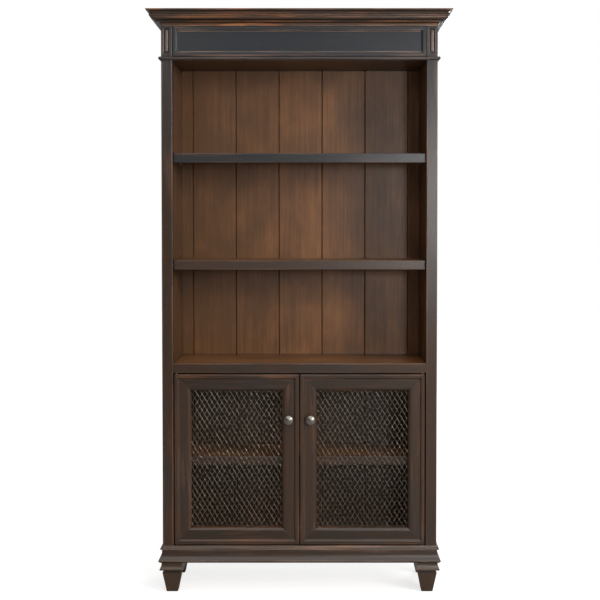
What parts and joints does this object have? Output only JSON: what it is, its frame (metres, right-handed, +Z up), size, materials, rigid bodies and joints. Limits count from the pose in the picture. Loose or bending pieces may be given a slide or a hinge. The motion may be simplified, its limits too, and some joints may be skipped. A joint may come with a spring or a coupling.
{
  "type": "open bookcase with wire-mesh doors",
  "caption": "Tall free-standing wooden bookcase with a moulded crown, open adjustable shelves above and a pair of framed wire-mesh doors below, on tapered feet.",
  "frame": {"origin": "on the floor, under the centre of the bounding box", "axes": "+Z up, -Y towards the front with the doors, +X to the right seen from the front"},
  "size_m": [1.031, 0.356, 1.987],
  "materials": {
    "espresso_lacquer": "satin distressed lacquer over hardwood, rubbed through on the arrises",
    "brown_stain": "satin stained veneer, vertical grain on the back and lengthwise on the shelves",
    "raw_timber": "sawn, unfinished",
    "zinc_steel": "zinc plated",
    "glide_nylon": "moulded",
    "hinge_steel": "antique bronze plated",
    "catch_plastic": "moulded",
    "bronze_wire": "aged bronze lacquer",
    "pewter": "antique pewter, darker in the recesses"
  },
  "bodies": {
    "carcass": {"astragal_front": "espresso_lacquer", "astragal_returns": "espresso_lacquer", "back_panel_screws": "zinc_steel", "base_frame": "raw_timber", "base_moulding_front": "espresso_lacquer", "base_moulding_returns": "espresso_lacquer", "bottom_panel": "brown_stain", "crown_front": "espresso_lacquer", "crown_returns": "espresso_lacquer", "fixed_shelf": "brown_stain", "floor_glides": "glide_nylon", "foot_bolts": "zinc_steel", "frieze_board": "espresso_lacquer", "frieze_moulding": "espresso_lacquer", "front_feet": "espresso_lacquer", "hinge_brackets": "hinge_steel", "left_inner_side": "brown_stain", "left_outer_side": "espresso_lacquer", "left_stile": "espresso_lacquer", "lower_back_panel": "brown_stain", "magnetic_catches": "catch_plastic", "middle_rail": "espresso_lacquer", "pilaster_bars": "espresso_lacquer", "rear_feet": "espresso_lacquer", "right_inner_side": "brown_stain", "right_outer_side": "espresso_lacquer", "right_stile": "espresso_lacquer", "shelf_pins": "zinc_steel", "side_battens": "raw_timber", "top_board": "espresso_lacquer", "top_panel": "brown_stain", "upper_back_panel": "brown_stain"},
    "left_door": {"left_door_bottom_rail": "espresso_lacquer", "left_door_hinge_leaves": "hinge_steel", "left_door_hinge_stile": "espresso_lacquer", "left_door_knob": "pewter", "left_door_knob_screw": "zinc_steel", "left_door_meeting_stile": "espresso_lacquer", "left_door_mesh": "bronze_wire", "left_door_mesh_stops": "brown_stain", "left_door_strike_plate": "zinc_steel", "left_door_top_rail": "espresso_lacquer"},
    "right_door": {"right_door_bottom_rail": "espresso_lacquer", "right_door_hinge_leaves": "hinge_steel", "right_door_hinge_stile": "espresso_lacquer", "right_door_knob": "pewter", "right_door_knob_screw": "zinc_steel", "right_door_meeting_stile": "espresso_lacquer", "right_door_mesh": "bronze_wire", "right_door_mesh_stops": "brown_stain", "right_door_strike_plate": "zinc_steel", "right_door_top_rail": "espresso_lacquer"},
    "upper_shelf_unit": {"upper_shelf": "brown_stain", "upper_shelf_nosing": "espresso_lacquer"},
    "centre_shelf_unit": {"centre_shelf": "brown_stain", "centre_shelf_nosing": "espresso_lacquer"},
    "lower_shelf_unit": {"lower_shelf": "brown_stain", "lower_shelf_nosing": "espresso_lacquer"}
  },
  "joints": [
    {"name": "left_door_hinge", "type": "hinge", "parent": "carcass", "child": "left_door", "pos_m": [-0.4212, -0.1235, 0.45875], "axis": [0, 0, -1], "range_deg": [0, 98]},
    {"name": "right_door_hinge", "type": "hinge", "parent": "carcass", "child": "right_door", "pos_m": [0.4212, -0.1235, 0.45875], "axis": [0, 0, 1], "range_deg": [0, 98]},
    {"name": "upper_shelf_height", "type": "slide", "parent": "carcass", "child": "upper_shelf_unit", "axis": [0, 0, 1], "range_m": [0, 0.064]},
    {"name": "centre_shelf_height", "type": "slide", "parent": "carcass", "child": "centre_shelf_unit", "axis": [0, 0, 1], "range_m": [0, 0.064]},
    {"name": "lower_shelf_height", "type": "slide", "parent": "carcass", "child": "lower_shelf_unit", "axis": [0, 0, 1], "range_m": [0, 0.064]}
  ]
}
